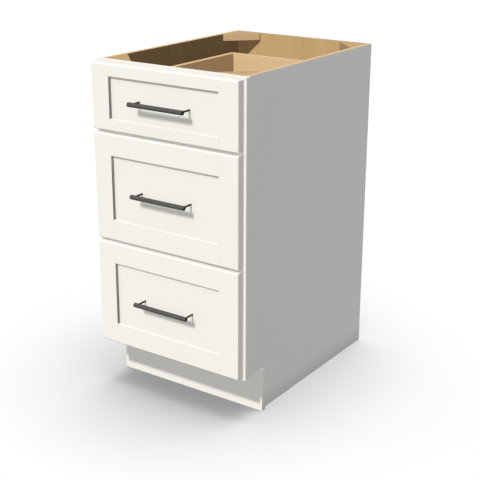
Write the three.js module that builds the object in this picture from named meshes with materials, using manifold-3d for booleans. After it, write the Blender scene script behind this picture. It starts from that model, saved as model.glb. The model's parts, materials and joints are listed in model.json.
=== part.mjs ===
// A framed kitchen base cabinet with three drawers, 18 in wide, 24 in deep and 34.5 in high.
// Millimetres, +Z up. The fronts face -Y. While the cabinet is built, y = 0 is the front of its
// face frame; at the end one group moves everything so that the origin is at the middle of the
// footprint, on the floor.

import * as THREE from 'three';
import { mergeVertices } from 'three/addons/utils/BufferGeometryUtils.js';
import Module from 'manifold-3d';

const wasm = await Module();
wasm.setup();

const INCH = 25.4;

// ---- Carcass ----
const WIDTH = 18 * INCH;              // over the face frame and the toe board
const DEPTH = 24 * INCH;              // face frame front to back
const HEIGHT = 34.5 * INCH;
const SIDE_SET_BACK = 7.5;            // the frame stands proud of each side by this
const PANEL = 0.5 * INCH;             // sides, back and deck
const FRAME_THICK = 0.75 * INCH;
const FRAME_MEMBER = 1.5 * INCH;      // width of every stile and rail
const TOE_HEIGHT = 118.2;
const TOE_SET_BACK = 3 * INCH;
const TOE_BOARD = 0.625 * INCH;
const GUSSET_LEG = 77;
const GUSSET_THICK = 0.75 * INCH;
const GUSSET_NOSE = 5;                // the blunt ends of a gusset's long side
const DECK_DADO = 5;                  // depth of the slot that holds the deck in each side

// ---- Drawer fronts ----
const FRONT_THICK = 0.8125 * INCH;
const BUMPER_GAP = 2.65;              // front's back face to the face frame
const FRONT_WIDTH = WIDTH - 2 * 7.15;
const FRONT_TOP = HEIGHT - 4.4;
const FRONT_GAP = 8.2;
const FRONT_BOTTOM = TOE_HEIGHT + 8.2;
const TOP_FRONT_HEIGHT = 167.3;
const MIDDLE_FRONT_HEIGHT = 279.8;
const FRONT_STILE = 55;               // stiles, and the rails of the two deep fronts
const SLIM_RAIL = 30.3;               // rails of the shallow top front
const EDGE_ROUND = 3;                 // rounded front edge of each front
const RECESS = 0.375 * INCH;          // centre panel below the frame's face
const CENTRE_PANEL = 0.25 * INCH;
const PANEL_TONGUE = 9;               // how far the centre panel reaches into its groove

// ---- Pulls ----
const PULL_CENTRES = 6 * INCH;
const PULL_LENGTH = 167;
const PULL_BAR_R = 5.85;
const PULL_POST_R = 2.5;
const PULL_REACH = 35;                // centre panel's face to the bar's axis
const PULL_DROP = 2;                  // bar's axis below the middle of the front

// ---- Drawer boxes ----
const BOX_SIDE = 0.625 * INCH;
const BOX_CLEAR = 5;                  // each side of the box to the face frame's opening
const BOX_LENGTH = 21 * INCH;
const BOX_LIFT = 12.5;                // bottom rail of the opening to the box's lower edge
const TOP_BOX_HEIGHT = 93.5;
const DEEP_BOX_HEIGHT = 8 * INCH;
const BOX_BOTTOM = 0.25 * INCH;
const BOTTOM_RAISE = 0.5 * INCH;      // box's lower edge to its bottom board
const BOTTOM_TONGUE = 6;
const TAIL_PITCH = 1 * INCH;
const TAIL_SHARE = 0.32;              // half a tail's mean width, as a share of the pitch
const TAIL_FLARE = 2.2;
const RUNNER_NOTCH = 30;              // width of the notch in the box's back at each runner
const HALF_PIN = 6;                   // height cleared where the notch takes the lowest half pin

// ---- Runners: sheet-steel channels under each side of a box, heights above the opening's floor ----
const SHEET = 1.5;
const RUNNER_START = 2;               // behind the face frame's front
const RUNNER_LENGTH = 21 * INCH;
const RUNNER_SIDE_GAP = 0.5;          // cabinet member to the edge of the opening
const CABINET_LIP = 7;                // top of the cabinet member's inner edge
const CABINET_WEB = 31.5;             // top of its outer web
const BRACKET_PLATE = 2;              // the rear bracket's foot on the cabinet's back
const BRACKET_WIDTH = 34;
const BRACKET_TOP = 46;
const MIDDLE_LENGTH = 455;
const MIDDLE_LOW = 4.5;
const MIDDLE_TOP = 20;
const DRAWER_SKIRT = 9;               // lower edge of the drawer member
const MEMBER_STEP = 2.5;              // room between one member and the next inside it

const FIT = 0.1;                      // glue line between two flat pieces
const SLOT_FIT = 0.3;                 // clearance round a piece that sits in a cut
const OVERRUN = 1;                    // how far a cut or a join runs past the face it meets

// ---- Paint, wood and metal ----
const finish = (color, roughness, metalness = 0) => (
  () => new THREE.MeshStandardMaterial({ color, roughness, metalness })
);
const paint = finish(0xf4f1ea, 0.45);
const laminate = finish(0xf1f0ec, 0.5);
const birch = finish(0xd9b98a, 0.6);
const blackMetal = finish(0x33322f, 0.4, 0.8);
const zincSteel = finish(0xb9bcc0, 0.35, 1);

const cabinet = new THREE.Group();

function addMesh(name, geometry, material) {
  const mesh = new THREE.Mesh(geometry, material);
  mesh.name = name;
  cabinet.add(mesh);
  return mesh;
}

// A box between two corners, centred on its own middle and placed by its position.
function addBoard(name, low, high, material) {
  const size = high.map((top, axis) => top - low[axis]);
  const mesh = addMesh(name, new THREE.BoxGeometry(...size), material);
  mesh.position.set((low[0] + high[0]) / 2, (low[1] + high[1]) / 2, (low[2] + high[2]) / 2);
  return mesh;
}

// ---- Solids for cutting and joining ----
function toSolid(geometry) {
  geometry.deleteAttribute('normal');
  geometry.deleteAttribute('uv');
  const merged = mergeVertices(geometry, 1e-4);
  return new wasm.Manifold(new wasm.Mesh({
    numProp: 3,
    vertProperties: new Float32Array(merged.attributes.position.array),
    triVerts: new Uint32Array(merged.index.array),
  }));
}

function toGeometry(solid) {
  const mesh = solid.getMesh();
  const geometry = new THREE.BufferGeometry();
  geometry.setAttribute('position', new THREE.BufferAttribute(mesh.vertProperties, 3));
  geometry.setIndex(new THREE.BufferAttribute(mesh.triVerts, 1));
  return geometry;
}

function boxSolid(low, high) {
  const geometry = new THREE.BoxGeometry(high[0] - low[0], high[1] - low[1], high[2] - low[2]);
  geometry.translate((low[0] + high[0]) / 2, (low[1] + high[1]) / 2, (low[2] + high[2]) / 2);
  return toSolid(geometry);
}

function joined(solids) {
  return solids.reduce((whole, solid) => whole.add(solid));
}

// A block on the right (sign 1) or left (sign -1) of the cabinet's middle, given as
// [inner, outer, from, to, low, high]: across, front to back, and up.
function sideBlock(sign, [u0, u1, y0, y1, z0, z1]) {
  const [x0, x1] = [sign * u0, sign * u1].sort((a, b) => a - b);
  return boxSolid([x0, y0, z0], [x1, y1, z1]);
}

// An outline of [y, z] points extruded along +X.
function alongX(points, from, to) {
  const shape = new THREE.Shape(points.map(([y, z]) => new THREE.Vector2(y, z)));
  const geometry = new THREE.ExtrudeGeometry(shape, { depth: to - from, bevelEnabled: false });
  geometry.applyMatrix4(new THREE.Matrix4().set(
    0, 0, 1, from,
    1, 0, 0, 0,
    0, 1, 0, 0,
    0, 0, 0, 1,
  ));
  return toSolid(geometry);
}

// ---- Carcass ----
const sideOuter = WIDTH / 2 - SIDE_SET_BACK;
const sideInner = sideOuter - PANEL;
const backInner = DEPTH - PANEL;
const frameBack = FRAME_THICK + FIT;
const toeBack = TOE_SET_BACK + TOE_BOARD;
const opening = WIDTH / 2 - FRAME_MEMBER;     // half width of the frame's opening
const deckTop = TOE_HEIGHT + FRAME_MEMBER;

function sidePanel(sign) {
  const outline = [
    [toeBack + FIT, 0],
    [DEPTH, 0],
    [DEPTH, HEIGHT],
    [frameBack, HEIGHT],
    [frameBack, TOE_HEIGHT],
    [toeBack + FIT, TOE_HEIGHT],
  ];
  const panel = alongX(outline, -PANEL / 2, PANEL / 2);
  const inner = -sign * PANEL / 2;
  const dado = boxSolid(
    [inner - DECK_DADO, frameBack - OVERRUN, deckTop - PANEL - SLOT_FIT],
    [inner + DECK_DADO, backInner + FIT, deckTop + SLOT_FIT],
  );
  return toGeometry(panel.subtract(dado));
}

function buildCarcass() {
  for (const [side, sign] of [['left', -1], ['right', 1]]) {
    const panel = addMesh(`${side}_side_panel`, sidePanel(sign), laminate());
    panel.position.x = sign * (sideOuter + sideInner) / 2;
  }
  addBoard('back_panel', [-sideInner + FIT, backInner, 0], [sideInner - FIT, DEPTH, HEIGHT], birch());
  const deckHalf = sideInner + DECK_DADO - SLOT_FIT;
  const deckLow = [-deckHalf, frameBack, deckTop - PANEL];
  const deckHigh = [deckHalf, backInner - FIT, deckTop];
  addBoard('bottom_panel', deckLow, deckHigh, birch());
  addBoard('toe_board', [-WIDTH / 2, TOE_SET_BACK, 0], [WIDTH / 2, toeBack, TOE_HEIGHT - FIT], paint());
}

// ---- Face frame: two full-height stiles with four rails between them ----
const frontHeights = [
  TOP_FRONT_HEIGHT,
  MIDDLE_FRONT_HEIGHT,
  FRONT_TOP - FRONT_BOTTOM - 2 * FRONT_GAP - TOP_FRONT_HEIGHT - MIDDLE_FRONT_HEIGHT,
];
// Each front's top edge, and the rail behind each gap between two fronts.
const frontTops = [
  FRONT_TOP,
  FRONT_TOP - frontHeights[0] - FRONT_GAP,
  FRONT_TOP - frontHeights[0] - frontHeights[1] - 2 * FRONT_GAP,
];
const railTops = [
  HEIGHT,
  frontTops[1] + FRONT_GAP / 2 + FRAME_MEMBER / 2,
  frontTops[2] + FRONT_GAP / 2 + FRAME_MEMBER / 2,
  deckTop,
];
// The floor of each drawer's opening, from the top drawer down.
const openingFloors = railTops.slice(1);

function buildFaceFrame() {
  for (const [side, sign] of [['left', -1], ['right', 1]]) {
    const edges = [sign * opening, sign * WIDTH / 2].sort((a, b) => a - b);
    const low = [edges[0], 0, TOE_HEIGHT];
    const high = [edges[1], FRAME_THICK, HEIGHT];
    addBoard(`face_frame_${side}_stile`, low, high, paint());
  }
  const names = ['top', 'upper_middle', 'lower_middle', 'bottom'];
  names.forEach((name, i) => {
    const low = [-opening + FIT, 0, railTops[i] - FRAME_MEMBER];
    const high = [opening - FIT, FRAME_THICK, railTops[i]];
    addBoard(`face_frame_${name}_rail`, low, high, paint());
  });
}

// ---- Corner gussets: triangles with the right angle in the carcass's corner ----
function buildGussets() {
  for (const [end, y, inward] of [['front', frameBack, 1], ['rear', backInner - FIT, -1]]) {
    for (const [side, sign] of [['left', -1], ['right', 1]]) {
      const shape = new THREE.Shape();
      shape.moveTo(0, 0);
      shape.lineTo(-sign * GUSSET_LEG, 0);
      shape.lineTo(-sign * GUSSET_LEG, inward * GUSSET_NOSE);
      shape.lineTo(-sign * GUSSET_NOSE, inward * GUSSET_LEG);
      shape.lineTo(0, inward * GUSSET_LEG);
      const block = new THREE.ExtrudeGeometry(shape, { depth: GUSSET_THICK, bevelEnabled: false });
      const mesh = addMesh(`${end}_${side}_gusset`, block, birch());
      mesh.position.set(sign * (sideInner - FIT), y, HEIGHT - GUSSET_THICK);
    }
  }
}

// ---- Drawer fronts ----
const frontFace = -BUMPER_GAP - FRONT_THICK;
const panelFace = frontFace + RECESS;

// A slab with its front edges rounded: a bevelled extrusion whose back bevel is cut away.
function roundedSlab(width, height) {
  const halfW = width / 2 - EDGE_ROUND;
  const halfH = height / 2 - EDGE_ROUND;
  const shape = new THREE.Shape([
    new THREE.Vector2(-halfW, -halfH),
    new THREE.Vector2(halfW, -halfH),
    new THREE.Vector2(halfW, halfH),
    new THREE.Vector2(-halfW, halfH),
  ]);
  const geometry = new THREE.ExtrudeGeometry(shape, {
    depth: FRONT_THICK,
    bevelThickness: EDGE_ROUND,
    bevelSize: EDGE_ROUND,
    bevelSegments: 3,
  });
  geometry.rotateX(Math.PI / 2);
  geometry.translate(0, FRONT_THICK + EDGE_ROUND, 0);
  const slab = toSolid(geometry);
  const keep = boxSolid([-width, -EDGE_ROUND, -height], [width, FRONT_THICK, height]);
  return slab.intersect(keep);
}

function buildFront(label, index) {
  const height = frontHeights[index];
  const rail = index === 0 ? SLIM_RAIL : FRONT_STILE;
  const holeW = FRONT_WIDTH / 2 - FRONT_STILE;
  const holeH = height / 2 - rail;
  const middle = frontTops[index] - height / 2;
  const through = boxSolid(
    [-holeW, -OVERRUN, -holeH],
    [holeW, FRONT_THICK + OVERRUN, holeH],
  );
  const reach = PANEL_TONGUE + SLOT_FIT;
  const groove = boxSolid(
    [-holeW - reach, RECESS - SLOT_FIT, -holeH - reach],
    [holeW + reach, RECESS + CENTRE_PANEL + SLOT_FIT, holeH + reach],
  );
  const frame = roundedSlab(FRONT_WIDTH, height).subtract(through).subtract(groove);
  const frameMesh = addMesh(`${label}_front_frame`, toGeometry(frame), paint());
  frameMesh.position.set(0, frontFace, middle);
  addBoard(
    `${label}_front_panel`,
    [-holeW - PANEL_TONGUE, panelFace, middle - holeH - PANEL_TONGUE],
    [holeW + PANEL_TONGUE, panelFace + CENTRE_PANEL, middle + holeH + PANEL_TONGUE],
    paint(),
  );
  buildPull(label, middle - PULL_DROP);
}

// ---- A pull: a round bar on two posts, made as one piece ----
function buildPull(label, height) {
  const bar = new THREE.CylinderGeometry(PULL_BAR_R, PULL_BAR_R, PULL_LENGTH, 20);
  bar.rotateZ(Math.PI / 2);
  const solids = [toSolid(bar)];
  const postLength = PULL_REACH - FIT;
  for (const sign of [-1, 1]) {
    const post = new THREE.CylinderGeometry(PULL_POST_R, PULL_POST_R, postLength, 12);
    post.translate(sign * PULL_CENTRES / 2, postLength / 2, 0);
    solids.push(toSolid(post));
  }
  const mesh = addMesh(`${label}_pull`, toGeometry(joined(solids)), blackMetal());
  mesh.position.set(0, panelFace - PULL_REACH, height);
}

// ---- Drawer boxes ----
const boxOuter = opening - BOX_CLEAR;
const boxInner = boxOuter - BOX_SIDE;
const boxFront = -BUMPER_GAP + FIT;
const boxBack = boxFront + BOX_LENGTH;

// The tails at one end of a box side: wedges whose wide ends are at the board's end. `end` is the
// board end's y, `into` is +1 or -1 towards the middle of the board.
function tails(height, end, into, grow) {
  const count = Math.round(height / TAIL_PITCH);
  const pitch = height / count;
  const root = end + into * (BOX_SIDE + OVERRUN);
  const wedges = [];
  for (let i = 0; i < count; i += 1) {
    const z = pitch * (i + 0.5);
    const wide = pitch * TAIL_SHARE + TAIL_FLARE / 2 + grow;
    const narrow = pitch * TAIL_SHARE - TAIL_FLARE / 2 + grow;
    const outline = [[end, z - wide], [end, z + wide], [root, z + narrow], [root, z - narrow]];
    wedges.push(alongX(outline, -BOX_SIDE / 2, BOX_SIDE / 2));
  }
  return joined(wedges);
}

function buildBox(label, floor, height) {
  const low = floor + BOX_LIFT;
  const boardLow = BOTTOM_RAISE;
  const boardHigh = boardLow + BOX_BOTTOM;
  const reach = BOTTOM_TONGUE + SLOT_FIT;
  const grooveZ = [boardLow - SLOT_FIT, boardHigh + SLOT_FIT];
  const innerFront = boxFront + BOX_SIDE;
  const innerBack = boxBack - BOX_SIDE;

  for (const [side, sign] of [['left', -1], ['right', 1]]) {
    const middle = boxSolid([-BOX_SIDE / 2, innerFront, 0], [BOX_SIDE / 2, innerBack, height]);
    const board = joined([middle, tails(height, boxFront, 1, 0), tails(height, boxBack, -1, 0)]);
    const edges = [-sign * BOX_SIDE / 2, -sign * (BOX_SIDE / 2 - reach)].sort((a, b) => a - b);
    const groove = boxSolid(
      [edges[0] - (sign > 0 ? 1 : 0), innerFront - reach, grooveZ[0]],
      [edges[1] + (sign > 0 ? 0 : 1), innerBack + reach, grooveZ[1]],
    );
    const mesh = addMesh(`${label}_box_${side}_side`, toGeometry(board.subtract(groove)), birch());
    mesh.position.set(sign * (boxOuter + boxInner) / 2, 0, low);
  }

  // The front and back run the full width, and their ends are the pins between the tails.
  const sockets = (end, into) => {
    const cut = tails(height, end, into, SLOT_FIT);
    const centre = (boxOuter + boxInner) / 2;
    return cut.translate([-centre, 0, 0]).add(cut.translate([centre, 0, 0]));
  };
  const groove = boxSolid(
    [-boxInner - reach, innerFront - reach, grooveZ[0]],
    [boxInner + reach, innerBack + reach, grooveZ[1]],
  );
  const front = boxSolid([-boxOuter, boxFront, 0], [boxOuter, innerFront - SLOT_FIT, height])
    .subtract(sockets(boxFront, 1))
    .subtract(groove);
  const back = boxSolid([-boxOuter, innerBack + SLOT_FIT, 0], [boxOuter, boxBack, height])
    .subtract(sockets(boxBack, -1))
    .subtract(groove);
  // Each notch lets a runner pass under the back, and takes the lowest half pin beside it.
  const deep = [innerBack - OVERRUN, boxBack + OVERRUN];
  const notches = [-1, 1].flatMap((sign) => [
    sideBlock(sign, [boxInner - RUNNER_NOTCH, boxInner, ...deep, -OVERRUN, boardLow + OVERRUN]),
    sideBlock(sign, [boxInner - OVERRUN, boxOuter + OVERRUN, ...deep, -OVERRUN, HALF_PIN]),
  ]);
  addMesh(`${label}_box_front`, toGeometry(front), birch()).position.z = low;
  addMesh(`${label}_box_back`, toGeometry(back.subtract(joined(notches))), birch()).position.z = low;
  addBoard(
    `${label}_box_bottom`,
    [-boxInner - BOTTOM_TONGUE, innerFront - BOTTOM_TONGUE, low + boardLow],
    [boxInner + BOTTOM_TONGUE, innerBack + BOTTOM_TONGUE, low + boardHigh],
    birch(),
  );
}

// ---- Runners ----
// Each member's plates are blocks with heights above the opening's floor.
function buildRunners(label, floor) {
  const outer = opening - RUNNER_SIDE_GAP;
  const bracketY = backInner - FIT - BRACKET_PLATE;
  const runnerEnd = RUNNER_START + RUNNER_LENGTH;
  const startY = boxFront + BOX_SIDE + OVERRUN;
  const underBoard = BOX_LIFT + BOTTOM_RAISE - FIT;
  const drawerIn = boxInner - RUNNER_NOTCH + 2 * MEMBER_STEP;
  const drawerOut = boxInner - MEMBER_STEP;
  const middleIn = drawerIn + MEMBER_STEP;
  const middleOut = drawerOut - MEMBER_STEP;
  const lipIn = drawerIn - MEMBER_STEP;
  const middleEnd = startY + MIDDLE_LENGTH;

  const cabinetMember = [
    [lipIn, outer, RUNNER_START, runnerEnd, SHEET, 2 * SHEET],
    [lipIn, lipIn + SHEET, RUNNER_START, runnerEnd, SHEET, CABINET_LIP],
    [outer - SHEET, outer, RUNNER_START, bracketY + OVERRUN, SHEET, CABINET_WEB],
    [outer - BRACKET_WIDTH, outer, bracketY, bracketY + BRACKET_PLATE, SHEET, BRACKET_TOP],
  ];
  const middleMember = [
    [middleIn, middleOut, startY, middleEnd, MIDDLE_LOW, MIDDLE_LOW + SHEET],
    [middleIn, middleIn + SHEET, startY, middleEnd, MIDDLE_LOW, MIDDLE_TOP],
    [middleOut - SHEET, middleOut, startY, middleEnd, MIDDLE_LOW, MIDDLE_TOP],
  ];
  const drawerMember = [
    [drawerIn, drawerOut, startY, boxBack, underBoard - SHEET, underBoard],
    [drawerIn, drawerIn + SHEET, startY, boxBack, DRAWER_SKIRT, underBoard],
    [drawerOut - SHEET, drawerOut, startY, boxBack, DRAWER_SKIRT, underBoard],
  ];
  for (const [side, sign] of [['left', -1], ['right', 1]]) {
    const members = { cabinet: cabinetMember, middle: middleMember, drawer: drawerMember };
    for (const [member, plates] of Object.entries(members)) {
      const section = toGeometry(joined(plates.map((plate) => sideBlock(sign, plate))));
      addMesh(`${label}_${side}_${member}_runner`, section, zincSteel()).position.z = floor;
    }
  }
}

buildCarcass();
buildFaceFrame();
buildGussets();
['top', 'middle', 'bottom'].forEach((place, i) => {
  const label = `${place}_drawer`;
  buildFront(label, i);
  buildBox(label, openingFloors[i], i === 0 ? TOP_BOX_HEIGHT : DEEP_BOX_HEIGHT);
  buildRunners(label, openingFloors[i]);
});

// The pulls reach furthest forward, so the footprint's middle lies between them and the back.
const frontmost = panelFace - PULL_REACH - PULL_BAR_R;
cabinet.position.y = -(frontmost + DEPTH) / 2;

const part = new THREE.Group();
part.add(cabinet);

export default part;
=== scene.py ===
# %% [markdown]
# # A base cabinet with three drawers
# The cabinet already exists as exact solids: boards, drawer boxes, runners and pulls, each in its
# own node and each riding on the body that carries it. What the solids lack is finish. This lesson
# dresses them: eased and rounded board edges, lacquer, laminate, birch, plated steel, and the small
# hardware that holds a drawer together. Every place is worked out from the solids, so a piece
# always sits on what carries it, also when a drawer is open.

# %% Load the cabinet
import json
import math

import bmesh
import bpy
from mathutils import Matrix, Vector


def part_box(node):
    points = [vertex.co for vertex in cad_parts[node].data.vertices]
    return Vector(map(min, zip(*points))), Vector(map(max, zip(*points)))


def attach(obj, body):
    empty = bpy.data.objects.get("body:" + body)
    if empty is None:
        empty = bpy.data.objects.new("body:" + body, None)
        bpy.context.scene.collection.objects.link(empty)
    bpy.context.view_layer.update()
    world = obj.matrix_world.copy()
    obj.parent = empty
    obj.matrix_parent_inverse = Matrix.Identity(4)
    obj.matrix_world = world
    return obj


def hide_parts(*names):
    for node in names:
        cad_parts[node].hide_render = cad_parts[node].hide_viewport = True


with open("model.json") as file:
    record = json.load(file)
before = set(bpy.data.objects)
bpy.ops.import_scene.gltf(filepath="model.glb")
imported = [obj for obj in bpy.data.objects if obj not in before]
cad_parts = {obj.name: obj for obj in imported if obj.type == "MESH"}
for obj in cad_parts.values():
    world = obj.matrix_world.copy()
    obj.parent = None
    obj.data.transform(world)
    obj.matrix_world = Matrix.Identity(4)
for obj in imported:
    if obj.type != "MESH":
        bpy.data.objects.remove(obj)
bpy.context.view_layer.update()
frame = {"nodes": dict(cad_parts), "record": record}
MM = 0.001
AXIS = {"X": 0, "Y": 1, "Z": 2}
DRAWERS = ("top_drawer", "middle_drawer", "bottom_drawer")
SIDES = {"left": -1, "right": 1}

# %% [markdown]
# ## Two small helpers for node trees
# Materials and Geometry Nodes are both trees of nodes, and a script that makes them by hand repeats
# the same three steps: add a node, set it, link it. One function does all three. Its `inputs` may
# hold a plain value, a socket, or a whole node, which stands for that node's first live output.

# %% Nodes and colours
def add_node(tree, kind, inputs=None, **settings):
    """Adds a node with its settings; each input takes a value, a socket or another node."""
    node = tree.nodes.new(kind)
    for name, value in settings.items():
        setattr(node, name, value)
    for name, value in (inputs or {}).items():
        by_index = isinstance(name, int)
        socket = node.inputs[name] if by_index else live_socket(node.inputs, name)
        if isinstance(value, bpy.types.Node):
            value = live_socket(value.outputs)
        if isinstance(value, bpy.types.NodeSocket):
            tree.links.new(value, socket)
        else:
            socket.default_value = value
    return node


def live_socket(sockets, name=None):
    """The first socket in use, or the first in use with that name."""
    return next(s for s in sockets if s.enabled and name in (None, s.name))


def srgb(hex_colour):
    """An sRGB colour such as 0xF5F2EA, as the linear RGBA that shaders work in."""
    channels = [(hex_colour >> shift & 255) / 255 for shift in (16, 8, 0)]
    linear = [c / 12.92 if c <= 0.04045 else ((c + 0.055) / 1.055) ** 2.4 for c in channels]
    return (*linear, 1.0)


print("a mid grey, 0x808080, is", round(srgb(0x808080)[0], 3), "in linear light")

# %% [markdown]
# ## The camera
# The camera stands to the front right of the cabinet, a little above it, with a long lens. Its
# place was found by fitting the cabinet's straight edges. Its distance is counted in metres from
# the face frame's front.

# %% Camera
CAMERA_X = 1.5429
CAMERA_BEFORE_FRAME = 1.9252
CAMERA_Z = 1.3107
AZIMUTH, ELEVATION, ROLL = (math.radians(a) for a in (34.671, 19.386, 0.125))
LENS_MM = 78.22
SENSOR_MM = 36

frame_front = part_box("face_frame_top_rail")[0].y
camera = bpy.data.objects.new("camera", bpy.data.cameras.new("camera"))
bpy.context.scene.collection.objects.link(camera)
camera.data.lens = LENS_MM
camera.data.sensor_width = SENSOR_MM
camera.location = (CAMERA_X, frame_front - CAMERA_BEFORE_FRAME, CAMERA_Z)
turn = Matrix.Rotation(AZIMUTH, 3, "Z") @ Matrix.Rotation(math.pi / 2 - ELEVATION, 3, "X")
camera.rotation_euler = (turn @ Matrix.Rotation(ROLL, 3, "Z")).to_euler()
bpy.context.scene.camera = camera
print("camera at", tuple(round(v, 3) for v in camera.location))

# %% [markdown]
# ## Materials: where each one starts
# Every finish starts the same way: a material, and the object's own coordinates in metres. The
# pieces sit at the origin, so one metre in the pattern is one metre on the cabinet, and grain,
# plies and spray texture can be written in millimetres.

# %% Starting and ending a material
NO_BOUNCE = (0.05, 0.05, 0.05, 1.0)


def start_material(name):
    """A new material, its tree, and the object's coordinates to build a pattern on."""
    material = bpy.data.materials.new(name)
    material.use_nodes = True
    tree = material.node_tree
    tree.nodes.clear()
    coordinates = add_node(tree, "ShaderNodeTexCoord")
    return material, tree, coordinates.outputs["Object"]


def end_material(tree, inputs):
    """Ends a tree in one Principled shader, which passes hardly any light on to its neighbours."""
    path = add_node(tree, "ShaderNodeLightPath")
    inputs["Base Color"] = add_node(
        tree,
        "ShaderNodeMix",
        {"Factor": path.outputs["Is Diffuse Ray"], "A": inputs["Base Color"], "B": NO_BOUNCE},
        data_type="RGBA",
    )
    shader = add_node(tree, "ShaderNodeBsdfPrincipled", inputs)
    add_node(tree, "ShaderNodeOutputMaterial", {"Surface": shader})


def scaled(tree, place, size_mm):
    """Coordinates counted in pattern sizes: one size per axis, in millimetres."""
    scale = [1 / (size * MM) for size in size_mm]
    return add_node(tree, "ShaderNodeMapping", {"Vector": place, "Scale": scale})


print("each finish passes on", NO_BOUNCE[0], "of the light that falls on it")

# %% [markdown]
# ## White lacquer
# The fronts, the face frame and the toe board are sprayed with a catalysed satin lacquer. The eye
# reads it as a warm white with a soft sheen. Close up it is never quite flat: the spray leaves a
# shallow orange peel about 2 mm across, and the film is a touch thicker here than there, which
# shows as a very slow change of gloss.

# %% Sprayed satin lacquer
PEEL_MM = 2.2
PEEL_DEPTH_MM = 0.02
CLOUD_MM = 120.0
LACQUER_ROUGHNESS = 0.42
LACQUER_SWING = 0.05
LACQUER_SPECULAR = 0.12


def sprayed(name, colour, second_colour, roughness):
    """Lacquer whose colour drifts between two near whites, over a fine orange peel."""
    material, tree, place = start_material(name)
    peel = add_node(
        tree, "ShaderNodeTexNoise", {"Vector": scaled(tree, place, [PEEL_MM] * 3), "Scale": 1.0}
    )
    cloud = add_node(
        tree,
        "ShaderNodeTexNoise",
        {"Vector": scaled(tree, place, [CLOUD_MM] * 3), "Scale": 1.0, "Detail": 3.0},
    )
    tone = add_node(
        tree,
        "ShaderNodeMix",
        {"Factor": cloud, "A": srgb(colour), "B": srgb(second_colour)},
        data_type="RGBA",
    )
    gloss = add_node(
        tree,
        "ShaderNodeMapRange",
        {"Value": cloud, "To Min": roughness - LACQUER_SWING, "To Max": roughness + LACQUER_SWING},
    )
    bump = add_node(
        tree,
        "ShaderNodeBump",
        {"Height": peel, "Strength": 0.35, "Distance": PEEL_DEPTH_MM * MM},
    )
    end_material(
        tree,
        {"Base Color": tone, "Roughness": gloss, "Normal": bump,
         "Specular IOR Level": LACQUER_SPECULAR},
    )
    return material


lacquer = sprayed("sprayed_satin_lacquer", 0xF5F2EA, 0xF3F0E8, LACQUER_ROUGHNESS)
print("made", lacquer.name)

# %% [markdown]
# ## White laminate
# The cabinet's sides are plywood with a thin white laminate on the outside. It is slightly cooler
# than the lacquer, and its surface is pressed against a finely pebbled plate, so it has an even,
# small grain in place of orange peel.

# %% Pressed white laminate
PEBBLE_MM = 1.4
PEBBLE_DEPTH_MM = 0.03
LAMINATE_ROUGHNESS = 0.5
LAMINATE_SPECULAR = 0.15


def pressed_laminate(name, colour, second_colour):
    """Laminate whose colour drifts between two near whites, over small even pebbles."""
    material, tree, place = start_material(name)
    pebbles = add_node(
        tree,
        "ShaderNodeTexVoronoi",
        {"Vector": scaled(tree, place, [PEBBLE_MM] * 3), "Scale": 1.0},
        feature="SMOOTH_F1",
    )
    cloud = add_node(
        tree,
        "ShaderNodeTexNoise",
        {"Vector": scaled(tree, place, [CLOUD_MM] * 3), "Scale": 1.0, "Detail": 3.0},
    )
    tone = add_node(
        tree,
        "ShaderNodeMix",
        {"Factor": cloud, "A": srgb(colour), "B": srgb(second_colour)},
        data_type="RGBA",
    )
    bump = add_node(
        tree,
        "ShaderNodeBump",
        {"Height": pebbles, "Strength": 0.25, "Distance": PEBBLE_DEPTH_MM * MM},
    )
    end_material(
        tree,
        {"Base Color": tone, "Roughness": LAMINATE_ROUGHNESS, "Normal": bump,
         "Specular IOR Level": LAMINATE_SPECULAR},
    )
    return material


laminate = pressed_laminate("pressed_white_laminate", 0xF2F1EE, 0xF0EFEC)
print("made", laminate.name)

# %% [markdown]
# ## Birch veneer
# Inside, the plywood shows its birch face. The veneer is peeled from the log, so the growth rings
# come out as wide, pale, wandering bands, with short fine pores along the grain. Stretching a
# noise along the grain gives both. The stretch is a real size: a band is about 35 mm wide and half
# a metre long, and a pore line is under a millimetre wide. Each birch has three tones: pale, mid
# and dark.

# %% Rotary-cut birch
FIGURE_MM = (35.0, 520.0)
FIBRE_MM = (2.4, 90.0)
PORE_MM = (0.8, 14.0)
PORE_DEPTH_MM = 0.04
PORE_STRENGTH = 0.5
VENEER_ROUGHNESS = 0.6
BIRCH_SPECULAR = 0.02
PLY_TONES = (0xE5C38E, 0xDFBC85, 0xCCA570)
# The inside of the side panels takes darker tones than the plywood: a painted shade on those walls,
# which stand in shadow.
SHADED_SIDE_TONES = (0xBD9A6D, 0xB49066, 0xA07C55)


def grain_sizes(across_along, grain):
    """One size per axis: the long one along the grain."""
    sizes = [across_along[0]] * 3
    sizes[AXIS[grain]] = across_along[1]
    return sizes


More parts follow.
